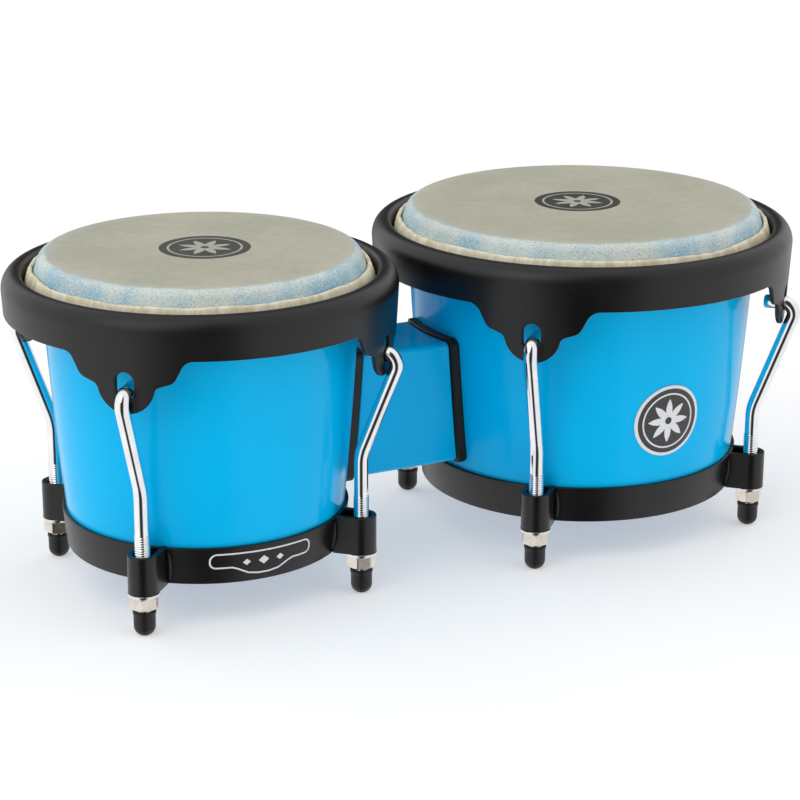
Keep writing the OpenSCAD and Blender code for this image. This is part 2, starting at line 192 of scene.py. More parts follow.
def arc(cx, cy, r, t0, t1, n, ry=None):
    ry = r if ry is None else ry
    return [(cx + r * math.cos(math.radians(t0 + (t1 - t0) * i / n)),
             cy + ry * math.sin(math.radians(t0 + (t1 - t0) * i / n))) for i in range(n + 1)]


def offset(L, d, closed=True):
    """Line moved to its left by d, with mitred corners."""
    L = np.asarray(L, float)
    if closed:
        e = np.roll(L, -1, 0) - L
        e /= np.linalg.norm(e, axis=1)[:, None]
        nn = np.stack([-e[:, 1], e[:, 0]], 1)
        pr = np.roll(nn, 1, 0)
    else:
        e = L[1:] - L[:-1]
        e /= np.linalg.norm(e, axis=1)[:, None]
        nn = np.stack([-e[:, 1], e[:, 0]], 1)
        pr = np.vstack([nn[:1], nn])
        nn = np.vstack([nn, nn[-1:]])
    m = (nn + pr) / (1 + (nn * pr).sum(1))[:, None]
    return L + m * d


def inside(pts, loop):
    x, y = pts[:, 0], pts[:, 1]
    L = np.asarray(loop, float)
    M = np.roll(L, -1, 0)
    res = np.zeros(len(pts), bool)
    for (x0, y0), (x1, y1) in zip(L, M):
        if y0 == y1:
            continue
        c = ((y0 > y) != (y1 > y)) & (x < (x1 - x0) * (y - y0) / (y1 - y0) + x0)
        res ^= c
    return res


def gap(pts, loop, closed=True):
    L = np.asarray(loop, float)
    M = np.roll(L, -1, 0) if closed else L[1:]
    A = L if closed else L[:-1]
    best = np.full(len(pts), 1e9)
    for a, b in zip(A, M):
        ab = b - a
        t = np.clip(((pts - a) @ ab) / max(ab @ ab, 1e-12), 0, 1)
        best = np.minimum(best, np.linalg.norm(pts - a - t[:, None] * ab, axis=1))
    return best


def fill(loops, grid, clear=0.9):
    """Triangles of the first loop less the others, with the grid's points inside."""
    g = np.asarray(grid, float).reshape(-1, 2)
    if len(g):
        ok = inside(g, loops[0])
        for h in loops[1:]:
            ok &= ~inside(g, h)
        for h in loops:
            ok &= gap(g, h) > clear
        g = g[ok]
    vs, es = [], []
    for L in loops:
        b, n = len(vs), len(L)
        vs += [Vector((float(p[0]), float(p[1]))) for p in L]
        es += [(b + i, b + (i + 1) % n) for i in range(n)]
    vs += [Vector((float(p[0]), float(p[1]))) for p in g]
    ov, _, of, *_ = delaunay_2d_cdt(vs, es, [], 0, 1e-5)
    P = np.array([(p.x, p.y) for p in ov])
    T = [tuple(t) for t in of]
    c = np.array([P[list(t)].mean(0) for t in T])
    ok = inside(c, loops[0])
    for h in loops[1:]:
        ok &= ~inside(c, h)
    return P, [t for t, k in zip(T, ok) if k]


def edge_steps(T, e, seg=3):
    """(inset, depth) steps round a sheet's edge from one face to the other."""
    s = [(e * (1 - math.sin(PI / 2 * k / seg)), e * (1 - math.cos(PI / 2 * k / seg))) for k in range(seg + 1)]
    return s + [(a, T - b) for a, b in reversed(s)]


def plate(outer, holes, T, e, to3d, grid, seg=3, clear=0.9):
    """A sheet with rounded edges: to3d(u, v, depth) gives its points."""
    parts = []
    ins = [offset(outer, e)] + [offset(h, -e) for h in holes]   # holes run the same way round
    P, tris = fill(ins, grid, clear)
    for dep, flip in ((0.0, False), (T, True)):
        parts.append((to3d(P[:, 0], P[:, 1], dep), [t[::-1] if flip else t for t in tris]))
    for L, sg in [(outer, 1)] + [(h, -1) for h in holes]:
        rows = [to3d(*offset(L, sg * a).T, b) for a, b in edge_steps(T, e, seg)]
        n = len(L)
        V = np.vstack(rows)
        F = [(k * n + j, k * n + (j + 1) % n, (k + 1) * n + (j + 1) % n, (k + 1) * n + j)
             for k in range(len(rows) - 1) for j in range(n)]
        parts.append((V, F))
    v, f, _ = join(parts)
    return v, f


def turn(v, ang, cx=0.0, cy=0.0):
    v = np.asarray(v, float)
    c, s = math.cos(ang), math.sin(ang)
    return np.stack([cx + c * v[:, 0] - s * v[:, 1], cy + s * v[:, 0] + c * v[:, 1], v[:, 2]], 1)


def periodic(seed, terms, lo, hi):
    """A smooth repeatable function of angle, about -1 to 1."""
    rs = np.random.RandomState(seed)
    fr = rs.randint(lo, hi + 1, terms)
    ph = rs.uniform(0, 2 * PI, terms)
    am = rs.uniform(0.5, 1.0, terms)
    am = am / np.sqrt((am ** 2).sum() / 2) * 0.6
    return lambda a: sum(w * np.sin(f * a + p) for w, f, p in zip(am, fr, ph))


# ---------------------------------------------------------------- material helpers
class Mat:
    def __init__(s, name):
        s.m = bpy.data.materials.new(name)
        s.m.use_nodes = True
        s.t = s.m.node_tree
        s.t.nodes.clear()
        out = s.t.nodes.new("ShaderNodeOutputMaterial")
        s.b = s.t.nodes.new("ShaderNodeBsdfPrincipled")
        s.t.links.new(s.b.outputs[0], out.inputs[0])
        s.P = s.t.nodes.new("ShaderNodeTexCoord").outputs["Object"]

    def put(s, sock, val):
        if hasattr(val, "is_output"):
            s.t.links.new(val, sock)
        elif isinstance(val, (tuple, list)) and sock.type == "RGBA" and len(val) == 3:
            sock.default_value = (*val, 1.0)
        else:
            sock.default_value = val

    def add(s, typ, ins=None, **props):
        n = s.t.nodes.new(typ)
        for k, v in props.items():
            setattr(n, k, v)
        for k, v in (ins or {}).items():
            s.put(n.inputs[k], v)
        return n

    def math(s, op, a, b=0.0, c=None, clamp=False):
        n = s.add("ShaderNodeMath", {0: a, 1: b}, operation=op, use_clamp=clamp)
        if c is not None:
            s.put(n.inputs[2], c)
        return n.outputs[0]

    def vec(s, op, a, b=(0, 0, 0), out=0):
        n = s.add("ShaderNodeVectorMath", {0: a, 1: b}, operation=op)
        return n.outputs["Value"] if out == "v" else n.outputs[0]

    def noise(s, scale, detail=3.0, rough=0.55, vec=None, dist=0.0):
        return s.add("ShaderNodeTexNoise", {"Vector": vec or s.P, "Scale": scale, "Detail": detail,
                                            "Roughness": rough, "Distortion": dist}).outputs["Fac"]

    def map(s, v, a, b, c=0.0, d=1.0, smooth=True):
        return s.add("ShaderNodeMapRange", {0: v, 1: a, 2: b, 3: c, 4: d},
                     interpolation_type="SMOOTHSTEP" if smooth else "LINEAR").outputs[0]

    def mix(s, f, a, b, blend="MIX"):
        n = s.add("ShaderNodeMix", {0: f, 6: a, 7: b}, data_type="RGBA", blend_type=blend)
        return n.outputs[2]

    def bump(s, h, dist, strength=1.0, normal=None):
        n = s.add("ShaderNodeBump", {"Height": h, "Distance": dist, "Strength": strength})
        if normal is not None:
            s.put(n.inputs["Normal"], normal)
        return n.outputs[0]

    def sep(s, v=None):
        return s.add("ShaderNodeSeparateXYZ", {0: v or s.P}).outputs

    def set(s, **kw):
        for k, v in kw.items():
            s.put(s.b.inputs[k.replace("_", " ")], v)
        return s.m


def lin(r, g, b):
    f = lambda c: (c / 255 / 12.92) if c / 255 <= 0.04045 else ((c / 255 + 0.055) / 1.055) ** 2.4
    return (f(r), f(g), f(b))


# ---------------------------------------------------------------- materials
def blue_plastic():
    m = Mat("shell_blue_plastic")
    cloud = m.noise(14, 2)
    speck = m.noise(900, 2, 0.6)
    base = m.mix(m.map(cloud, 0.3, 0.7), lin(0, 187, 247), lin(0, 191, 251))
    rough = m.math("ADD", m.map(m.noise(55, 4, 0.6), 0.35, 0.75, 0.13, 0.20), m.map(speck, 0.45, 0.75, 0.0, 0.03))
    peel = m.noise(260, 2, 0.5)
    scratch = m.noise(60, 5, 0.7, vec=m.vec("MULTIPLY", m.P, (14.0, 1.0, 1.2)))
    n = m.bump(peel, 0.00006, 0.35)
    n = m.bump(m.map(scratch, 0.72, 0.76), 0.000015, 0.25, n)
    m.set(Base_Color=base, Roughness=rough, Normal=n)
    return m.set(IOR=1.5, Specular_IOR_Level=0.13)


def powder_black(name="powder_coat_black", tone=1.0):
    m = Mat(name)
    grain = m.noise(1900, 2, 0.6)
    cloud = m.noise(30, 3)
    base = m.mix(m.map(cloud, 0.3, 0.7), tuple(tone * c for c in lin(9, 9, 11)), tuple(tone * c for c in lin(14, 14, 16)))
    # light dust and rubbed places on the raised edges
    geo = m.add("ShaderNodeNewGeometry")
    wear = m.math("MULTIPLY", m.map(geo.outputs["Pointiness"], 0.53, 0.62), m.map(m.noise(180, 4, 0.7), 0.5, 0.72))
    base = m.mix(m.math("MULTIPLY", wear, 0.30), base, lin(70, 70, 72))
    rough = m.math("ADD", m.map(cloud, 0.3, 0.7, 0.33, 0.40), m.map(grain, 0.35, 0.7, -0.03, 0.05))
    n = m.bump(grain, 0.00005, 0.45)
    n = m.bump(m.noise(420, 2), 0.00008, 0.25, n)
    m.set(Base_Color=base, Roughness=rough, Normal=n)
    return m.set(IOR=1.5, Specular_IOR_Level=0.44)


def chrome():
    m = Mat("rod_bright_chrome")
    fog = m.noise(70, 4, 0.65)
    base = m.mix(m.map(fog, 0.35, 0.7), lin(232, 233, 236), lin(244, 244, 246))
    draw = m.noise(1400, 2, 0.6, vec=m.vec("MULTIPLY", m.P, (1.0, 1.0, 0.04)))
    rough = m.math("ADD", m.map(fog, 0.35, 0.75, 0.07, 0.13), m.map(draw, 0.4, 0.8, 0.0, 0.03))
    n = m.bump(draw, 0.000012, 0.4)
    m.set(Base_Color=base, Roughness=rough, Normal=n)
    return m.set(Metallic=1.0)


def steel(name, a, b, rough0, rough1, scale=90):
    m = Mat(name)
    cloud = m.noise(scale, 4, 0.65)
    base = m.mix(m.map(cloud, 0.32, 0.7), a, b)
    fine = m.noise(2600, 2, 0.6)
    rough = m.math("ADD", m.map(cloud, 0.3, 0.75, rough0, rough1), m.map(fine, 0.4, 0.75, 0.0, 0.05))
    m.set(Base_Color=base, Roughness=rough, Normal=m.bump(fine, 0.00002, 0.4))
    return m.set(Metallic=1.0)


def rubber():
    m = Mat("black_rubber")
    fine = m.noise(1500, 3, 0.6)
    cloud = m.noise(120, 3)
    base = m.mix(m.map(cloud, 0.35, 0.7), lin(15, 15, 16), lin(21, 21, 22))
    rough = m.math("ADD", m.map(cloud, 0.3, 0.7, 0.42, 0.52), m.map(fine, 0.4, 0.7, 0.0, 0.06))
    m.set(Base_Color=base, Roughness=rough, Normal=m.bump(fine, 0.00005, 0.5))
    return m.set(IOR=1.45)


def star_mask(m, u, v, inner, outer, ring, half):
    """1 inside an eight-pointed star or a thin ring, sizes in metres."""
    rad = m.math("SQRT", m.math("ADD", m.math("MULTIPLY", u, u), m.math("MULTIPLY", v, v)))
    ang = m.math("MULTIPLY", m.math("ARCTAN2", v, u), 8 / (2 * PI))
    tri = m.math("ABSOLUTE", m.math("SUBTRACT", m.math("FRACT", m.math("ADD", ang, 8.0)), 0.5))
    edge = m.math("MULTIPLY_ADD", m.math("MULTIPLY", tri, 2.0), outer - inner, inner)
    star = m.map(m.math("SUBTRACT", edge, rad), -0.00008, 0.00008)
    hole = m.map(rad, inner * 0.42 - 0.0001, inner * 0.42 + 0.0001)
    circ = m.map(m.math("ABSOLUTE", m.math("SUBTRACT", rad, ring)), half + 0.00008, half - 0.00008)
    return rad, m.math("MAXIMUM", m.math("MULTIPLY", star, hole), circ)


def skin_top(name, cx, r, px, py, ink0, ink1):
    """Natural head: beige field with a printed roundel, pale blue-white collar."""
    m = Mat(name)
    cx, r, px, py = cx * MM, r * MM, px * MM, py * MM
    x, y, z = m.sep()
    dx = m.math("SUBTRACT", x, cx)
    rad = m.math("SQRT", m.math("ADD", m.math("MULTIPLY", dx, dx), m.math("MULTIPLY", y, y)))
    big = m.noise(22, 4, 0.6)
    mid = m.noise(130, 4, 0.65)
    fibre = m.noise(420, 4, 0.65, vec=m.vec("MULTIPLY", m.P, (1.0, 0.28, 1.0)), dist=0.6)
    fine = m.noise(1500, 3, 0.65)
    field = m.mix(m.map(big, 0.32, 0.68), lin(177, 178, 161), lin(190, 187, 170))
    field = m.mix(m.math("MULTIPLY", m.map(mid, 0.35, 0.72), 0.35), field, lin(169, 167, 147))
    field = m.mix(m.math("MULTIPLY", m.map(fibre, 0.42, 0.7), 0.30), field, lin(200, 198, 183))
    field = m.mix(m.math("MULTIPLY", m.map(fine, 0.5, 0.75), 0.20), field, lin(160, 158, 140))
    # collar: cloudy white at the top, bluer towards the bottom, with fine speckle
    down = m.map(z, 0.1752, 0.1665, 0.12, 1.0, False)
    cloud = m.noise(34, 3, 0.55, vec=m.vec("MULTIPLY", m.P, (1.0, 1.0, 0.6)))
    amount = m.math("ADD", m.math("MULTIPLY", down, 0.55), m.map(cloud, 0.30, 0.68, -0.32, 0.40), clamp=True)
    collar = m.mix(amount, lin(204, 216, 212), lin(100, 168, 198))
    collar = m.mix(m.math("MULTIPLY", m.map(m.noise(13, 3), 0.47, 0.60), 0.72), collar, lin(206, 210, 200))
    dots = m.noise(1300, 2, 0.7)
    collar = m.mix(m.math("MULTIPLY", m.map(dots, 0.53, 0.60), 0.62), collar, lin(236, 243, 243))
    collar = m.mix(m.math("MULTIPLY", m.map(m.noise(1000, 2, 0.7, vec=m.vec("ADD", m.P, (0.3, 0.1, 0.2))), 0.56, 0.64), 0.45), collar, lin(92, 140, 160))
    wob = m.math("MULTIPLY", m.math("SUBTRACT", m.noise(90, 3), 0.5), 0.004)
    d2 = m.math("ADD", rad, wob)
    rimband = m.map(d2, r - 0.0045, r - 0.0024)
    base = m.mix(m.math("MULTIPLY", m.map(d2, r - 0.012, r - 0.004), 0.35), field, lin(193, 196, 186))
    base = m.mix(rimband, base, collar)
    # printed roundel, worn into the skin's grain
    u, v = m.math("SUBTRACT", x, px), m.math("SUBTRACT", y, py)
    pr, motif = star_mask(m, u, v, 0.0052, 0.0142, 0.0186, 0.0006)
    disc = m.map(pr, 0.02335, 0.02315)
    grit = m.noise(1900, 2, 0.7)
    ink = m.mix(m.map(grit, 0.44, 0.62), ink0, ink1)
    light = m.mix(m.map(grit, 0.40, 0.66), lin(168, 168, 160), lin(188, 187, 176))
    ink = m.mix(motif, ink, light)
    base = m.mix(m.math("MULTIPLY", disc, 0.93), base, ink)
    rough = m.math("ADD", m.map(mid, 0.3, 0.7, 0.50, 0.62), m.map(fine, 0.4, 0.7, -0.02, 0.05))
    n = m.bump(mid, 0.0003, 0.22)
    n = m.bump(fibre, 0.00012, 0.30, n)
    n = m.bump(fine, 0.00005, 0.45, n)
    m.set(Base_Color=base, Roughness=rough, Normal=n)
    return m.set(IOR=1.45)


def skin_flap():
    """Dried, folded edge of the skin."""
    m = Mat("skin_trimmed_flap")
    streak = m.noise(170, 4, 0.6, vec=m.vec("MULTIPLY", m.P, (1.0, 1.0, 0.12)), dist=0.4)
    fine = m.noise(1300, 3, 0.65, vec=m.vec("MULTIPLY", m.P, (1.0, 1.0, 0.3)))
    big = m.noise(35, 3)
    base = m.mix(m.map(streak, 0.34, 0.66), lin(214, 203, 168), lin(243, 237, 214))
    base = m.mix(m.math("MULTIPLY", m.map(big, 0.5, 0.7), 0.5), base, lin(226, 223, 206))
    base = m.mix(m.math("MULTIPLY", m.map(fine, 0.5, 0.72), 0.35), base, lin(190, 173, 132))
    n = m.bump(streak, 0.0004, 0.4)
    n = m.bump(fine, 0.0001, 0.5, n)
    m.set(Base_Color=base, Roughness=m.map(fine, 0.3, 0.7, 0.55, 0.72), Normal=n)
    return m.set(IOR=1.45)


BADGE_ANG, BADGE_Z = math.radians(-89.0), 77.0


def badge_print():
    m = Mat("badge_black_and_silver")
    tx, ty = -math.sin(BADGE_ANG), math.cos(BADGE_ANG)
    q = m.vec("SUBTRACT", m.P, (HEMBRA_X * MM, 0, BADGE_Z * MM))
    u = m.vec("DOT_PRODUCT", q, (tx, ty, 0.0), "v")
    v = m.vec("DOT_PRODUCT", q, (0.0, 0.0, 1.0), "v")
    rad, motif = star_mask(m, u, v, 0.0048, 0.0122, 0.0149, 0.00045)
    rim = m.map(rad, 0.01790, 0.01800)
    white = m.math("MAXIMUM", rim, motif)
    fine = m.noise(1600, 2)
    base = m.mix(m.map(fine, 0.35, 0.7), lin(30, 30, 34), lin(38, 38, 42))
    base = m.mix(white, base, m.mix(m.map(fine, 0.35, 0.7), lin(222, 224, 228), lin(238, 239, 241)))
    m.set(Base_Color=base, Roughness=m.map(m.noise(300, 3), 0.3, 0.7, 0.2, 0.3),
          Normal=m.bump(m.math("ADD", m.math("MULTIPLY", white, 1.0), m.math("MULTIPLY", fine, 0.1)), 0.00012, 0.5))
    return m.set(Coat_Weight=0.4, Coat_Roughness=0.08)


def white_print():
    m = Mat("label_white_print")
    fine = m.noise(1500, 3)
    m.set(Base_Color=m.mix(m.map(fine, 0.35, 0.7), lin(214, 215, 219), lin(236, 237, 240)),
          Roughness=m.map(fine, 0.3, 0.7, 0.35, 0.5), Normal=m.bump(fine, 0.00003, 0.4))
    return m.set(IOR=1.45)


M_BLUE = blue_plastic()
M_BLACK = powder_black()
M_CHROME = chrome()
M_NICKEL = steel("nut_warm_nickel", lin(206, 198, 186), lin(224, 218, 208), 0.17, 0.27)
M_WASHER = steel("washer_bright_nickel", lin(214, 214, 214), lin(230, 230, 230), 0.16, 0.25)
M_ZINC = steel("hidden_zinc_steel", lin(170, 172, 176), lin(196, 198, 200), 0.26, 0.40)
M_RUBBER = rubber()
M_FLAP = skin_flap()
M_SKIN = {
    "macho": skin_top("skin_small_head", MACHO_X, 81.2, MACHO_X + 2.5, 0.0, lin(44, 45, 47), lin(76, 76, 75)),
    "hembra": skin_top("skin_large_head", HEMBRA_X, 95.0, HEMBRA_X - 1.6, 2.0, lin(17, 18, 20), lin(46, 46, 46)),
}
M_BADGE = badge_print()
M_LABEL = white_print()


# ---------------------------------------------------------------- shells
def shell(name, d):
    r = d["r"]
    er = shell_rz(r, EDGE_Z - EDGE_R)
    zs = list(np.linspace(SHELL_Z0 + 1.2, EDGE_Z - EDGE_R, 44))
    outer = [(shell_rz(r, SHELL_Z0) - 1.2, SHELL_Z0), (shell_rz(r, SHELL_Z0) - 0.5, SHELL_Z0 + 0.2), (shell_rz(r, SHELL_Z0) - 0.1, SHELL_Z0 + 0.6)]
    outer += [(shell_rz(r, z), z) for z in zs]
    outer += arc(er - EDGE_R, EDGE_Z - EDGE_R, EDGE_R, 8, 90, 9)
    inner = [(er - EDGE_R - 0.8, EDGE_Z - 0.5), (er - WALL - 1.2, EDGE_Z - 3.0), (er - WALL - 1.4, EDGE_Z - 9)]
    inner += [(shell_rz(r, z) - WALL, z) for z in reversed(zs[:-4])]
    inner += [(shell_rz(r, SHELL_Z0) - WALL + 0.15, SHELL_Z0 + 0.5), (shell_rz(r, SHELL_Z0) - WALL + 0.6, SHELL_Z0)]
    part = revolve(outer + inner, 320, d["cx"])
    return make(f"{name}_shell_moulding", [part], M_BLUE, "root", [f"{name}_shell"])


# ---------------------------------------------------------------- skins: one piece each, over the edge, round the hoop and up again
def skin(name, d):
    r, seed = d["r"], d["seed"]
    er = shell_rz(r, EDGE_Z - EDGE_R)
    cz, ro = EDGE_Z - EDGE_R, EDGE_R + SKIN_T
    c0 = er - EDGE_R
    ax, az = c0 + ro * math.cos(math.radians(19.4)), cz + ro * math.sin(math.radians(19.4))

    def col(z, t=0.0):
        return ax + (az - z) * 0.353 - t
    hr, hz, w = r + 9.8, 152.0, 4.0
    top = [(0.0, HEAD_Z)] + [(q * c0, HEAD_Z) for q in (0.12, 0.25, 0.4, 0.55, 0.7, 0.82, 0.92)]
    top += arc(c0, cz, ro, 90, 19.4, 12)
    top += [(col(z), z) for z in (171.2, 170.4, 169.6, 168.8, 168.0, 167.2, 166.2, 165.0, 163.6, 162.2)]
    k_col0, k_col1 = 8 + 13, 8 + 13 + 10
    # the flap: inner face up, ragged top, outer face down
    flap = [(col(161.6) + 0.15, 161.4), (r + 4.55, 162.4), (r + 3.95, 163.8), (r + 3.45, 165.2), (r + 3.10, 166.5),
            (r + 2.95, 167.5), (r + 3.15, 168.1), (r + 3.75, 168.35), (r + 4.5, 168.2), (r + 5.0, 167.6), (r + 5.35, 166.7),
            (r + 5.85, 165.3), (r + 6.4, 163.6), (r + 6.9, 161.6), (r + 7.3, 159.6), (r + 7.7, 158.0), (r + 8.1, 156.6)]
    kf0 = len(top)
    around = arc(hr, hz, w, 112, -188, 30)
    inner = [(r + 5.35, 155.6), (col(159.0, SKIN_T), 159.0)]
    inner += [(col(z, SKIN_T), z) for z in (162.0, 165.0, 168.0, 170.5)]
    inner += arc(c0, cz, EDGE_R, 19.4, 90, 9)
    inner += [(q * c0, EDGE_Z) for q in (0.8, 0.5, 0.2)] + [(0.0, EDGE_Z)]
    prof = top + flap + around + inner
    kf1 = kf0 + len(flap)
    n = 540
    cut = periodic(seed, 9, 2, 17)
    nick = periodic(seed + 1, 14, 30, 90)
    fold = periodic(seed + 2, 12, 22, 60)
    sway = periodic(seed + 3, 6, 3, 11)
    ripple = periodic(seed + 4, 10, 14, 40)
    back = np.radians(62 if name == "macho" else 55)

    def fn(k, a, R, z):
        if kf0 <= k < kf1:
            h = np.clip((z - 158.5) / 9.5, 0, 1)
            lift = np.exp(-((np.angle(np.exp(1j * (a - back)))) / 0.55) ** 2)
            f = fold(a)
            f = np.sign(f) * np.abs(f) ** 0.7
            dr = h * (0.30 * sway(a) + 0.17 * f + 0.35 * lift)
            dz = (0.42 * cut(a) + 0.09 * nick(a) + 0.6 * lift) * h ** 3
            rr = R + dr
            # stays off the collar
            floor = col(z + dz) + 0.08 + 0.5 * (k - kf0) / (kf1 - kf0)
            return np.maximum(rr, floor), z + dz
        if k_col0 <= k < k_col1:
            h = np.clip((170.5 - z) / 6.0, 0, 1)
            return R + 0.10 * h * ripple(a), np.full(len(a), float(z))
        return np.full(len(a), float(R)), np.full(len(a), float(z))
    v, f = revolve(prof, n, d["cx"], fn=fn)
    # the flap and the wrapped part take the second material
    mats = []
    per = {}
    cnt = 0
    m = len(prof)
    for k in range(m):
        A0 = prof[k][0] < 1e-9
        B0 = prof[(k + 1) % m][0] < 1e-9
        if A0 and B0:
            continue
        cnt += n
        mats += [1 if kf0 - 1 <= k < kf1 + len(around) - 1 else 0] * n
    assert cnt == len(f), (cnt, len(f))
    ob = make(f"{name}_skin", [(v, f, mats)], [M_SKIN[name], M_FLAP], None,
              [f"{name}_head", f"{name}_skin_tuck"], sharp=75, wn=False)
    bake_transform(ob)
    return ob


# ---------------------------------------------------------------- rims
def ear_lower(drop, skirt):
    """Lower edge from an ear's middle to the plain skirt, as flat (y, z)."""
    p = [(0.0, EAR_Z - drop)] + arc(0, EAR_Z + 14.9 - drop, 14.9, -85, -13, 18)
    p += arc(18.4, 128.95 - drop, 4.0, 163, 108, 8) + arc(20.0, 140.0 - drop, 6.0, -72, -25.8, 8)
    # the last fillet meets the skirt's edge level
    q = arc(33.5, 140.0 - drop, 6.0, 154.2, 90, 11)
    lift = skirt - q[-1][1]
    m = len(q) - 1
    p += [(y, z + lift * (k / m) ** 2) for k, (y, z) in enumerate(q)]
    return p


def rim(name, d):
    r, cx = d["r"], d["cx"]
    ri, ro = r + 8.3, r + RIM_OFF
    # crest and inner wall
    xc, a_o, a_i = r + 11.7, 7.4, 3.4
    out = arc(xc, SHOULDER_Z, a_o, 0, 90, 16, ry=9.0)
    out += arc(xc, 163.1, a_i, 90, 180, 10, ry=4.2)[1:]
    out += [(ri, z) for z in (161.4, 159.6, 157.8, 156.6)]
    inn = [tuple(p) for p in offset(out, RIM_T, closed=False)]
    lip = [(ri + 0.12, 156.05), (ri + 0.5, 155.6), (ri + 1.2, 155.45), (ri + 1.9, 155.6), (ri + 2.28, 156.05)]
    n = 288
    a0 = math.radians(d["clock"]) + RIM_TURN
    drop = d["drop"]
    skirt = SKIRT_Z - drop / 2
    inn[0] = (ro - RIM_T, SHOULDER_Z)
    crest = revolve(out + lip + inn[::-1], n, cx, a0=a0, closed=False)
    # skirt and ears: a quarter, unrolled, then wrapped
    Rr = ro
    step = math.radians(1.25)
    half = [(math.asin(y / rim_rz(r, z)) * Rr, z) for y, z in ear_lower(drop, skirt)]
    end = PI / 4 * Rr
    k0 = int(math.ceil((half[-1][0] / Rr + 0.004) / step))
    half += [(k * step * Rr, skirt) for k in range(k0, 37)]
    low = [(-s, z) for s, z in half[:0:-1]] + half
    slot = [(s, z - drop) for s, z in arc(0, SLOT_Z0 + SLOT_W / 2, SLOT_W / 2, 180, 360, 18) + arc(0, SLOT_Z0 + SLOT_H - SLOT_W / 2, SLOT_W / 2, 0, 180, 18)]
    e = 0.55
    low_in = [tuple(p) for p in offset(low, e, closed=False)]
    low_in[0], low_in[-1] = (-end, skirt + e), (end, skirt + e)
    side = [149.0, 151.6, 154.0, 156.2]
    topb = [(k * step * Rr, SHOULDER_Z) for k in range(36, -37, -1)]
    loop = low_in + [(end, z) for z in side] + topb + [(-end, z) for z in side[::-1]]
    grid = [(k * step * Rr, z) for k in range(-36, 37) for z in [118.1 + 2.4 * q for q in range(16)]]
    grid = [g for g in grid if abs(g[0]) < end - 0.5]
    P, tris = fill([loop, offset(slot, -e)], grid, 1.0)

    def wrap(s, z, dep):
        s, z = np.asarray(s, float), np.asarray(z, float)
        R = ro - np.maximum(0.0, SHOULDER_Z - z) * RIM_TAN - dep
        a = s / Rr
        return np.stack([R * np.cos(a), R * np.sin(a), z], 1)
    quarter = [(wrap(P[:, 0], P[:, 1], 0.0), tris), (wrap(P[:, 0], P[:, 1], RIM_T), [t[::-1] for t in tris])]
    steps = edge_steps(RIM_T, e, 3)
    L = np.array(low)
    rows = []
    for a, b in steps:
        o = offset(L, a, closed=False)
        o[0], o[-1] = (-end, skirt + a), (end, skirt + a)
        rows.append(wrap(o[:, 0], o[:, 1], b))
    m = len(L)
    quarter.append((np.vstack(rows), [(k * m + j, k * m + j + 1, (k + 1) * m + j + 1, (k + 1) * m + j) for k in range(len(rows) - 1) for j in range(m - 1)]))
    rows = [wrap(*offset(slot, -a).T, b) for a, b in steps]
    m = len(slot)
    quarter.append((np.vstack(rows), [(k * m + j, k * m + (j + 1) % m, (k + 1) * m + (j + 1) % m, (k + 1) * m + j) for k in range(len(rows) - 1) for j in range(m)]))
    qv, qf, _ = join(quarter)
    parts = [crest] + [(turn(qv, rod_angle(d, i) + RIM_TURN, cx), qf) for i in range(4)]
    return make(f"{name}_pressed_rim", parts, M_BLACK, f"{name}_rim_set", [f"{name}_rim"], weld=6e-6)


# ---------------------------------------------------------------- tension rods
def rod_mesh(d):
    r = d["r"]
    rv, bz, big, tip = r + d["rod"], d["bend"], 26.0, 10.0
    hz = HOOK_Z - d["drop"]
    rh = r + 19.1 - (158 - hz) * RIM_TAN - 1.1
    a = math.radians(20)
    for _ in range(12):
        p0 = (rh + HOOK_R * math.cos(a), hz - HOOK_R - HOOK_R * math.sin(a))
        p1 = (rv + big * (1 - math.cos(a)), bz + big * math.sin(a) - big * math.tan(a / 2))
        a = math.atan2(p0[0] - p1[0], p0[1] - p1[1])
    cz = bz - big * math.tan(a / 2)
    path = [(rh - tip + 0.0, hz, 1, 0, 0.45), (rh - tip + 0.02, hz, 1, 0, 0.72), (rh - tip + 0.35, hz, 1, 0, 0.86), (rh - tip + 1.0, hz, 1, 0, 1.0), (rh - tip * 0.5, hz, 1, 0, 1.0)]
    for i in range(23):
        t = PI / 2 - (PI / 2 + a) * i / 22
        path.append((rh + HOOK_R * math.cos(t), hz - HOOK_R + HOOK_R * math.sin(t), math.sin(t), -math.cos(t), 1.0))
    for i in range(13):
        t = a - a * i / 12
        path.append((rv + big - big * math.cos(t), cz + big * math.sin(t), -math.sin(t), -math.cos(t), 1.0))
    path += [(rv, 57.0, 0, -1, 1.0), (rv, 53.6, 0, -1, 1.0)]
    m = 36
    th = np.arange(m) * 2 * PI / m
    rows = [(np.array([[rh - tip, 0.0, hz]]), 1)]
    V, F = [(rh - tip, 0.0, hz)], []
    base = []
    for R, z, tr, tz, s in path:
        base.append(len(V))
        q = ROD_D / 2 * s
        for t in th:
            c, k = q * math.cos(t), q * math.sin(t)
            V.append((R - tz * c, k, z + tr * c))
    # rolled thread, 1.25 mm pitch
    pitch = 1.25
    zs = np.arange(53.3, 3.0, -pitch / 5)
    for z in zs:
        base.append(len(V))
        fade = min(1.0, max(0.0, (53.3 - z) / 1.6))
        for t in th:
            ph = (z / pitch - t / (2 * PI)) % 1.0
            tri = abs(ph - 0.5) * 2
            prof = min(1.0, max(0.0, (tri - 0.12) / 0.62))
            rad = 3.6 + fade * ((3.42 + 0.56 * prof) - 3.6)
            V.append((rv + rad * math.cos(t), rad * math.sin(t), z))
    # ring order matches: at the vertical end c points outward in both
    F += [(0, base[0] + (j + 1) % m, base[0] + j) for j in range(m)]
    for A, B in zip(base, base[1:]):
        F += [(A + j, A + (j + 1) % m, B + (j + 1) % m, B + j) for j in range(m)]
    e = len(V)
    V.append((rv, 0, float(zs[-1])))
    F += [(e, base[-1] + j, base[-1] + (j + 1) % m) for j in range(m)]
    return np.array(V), F


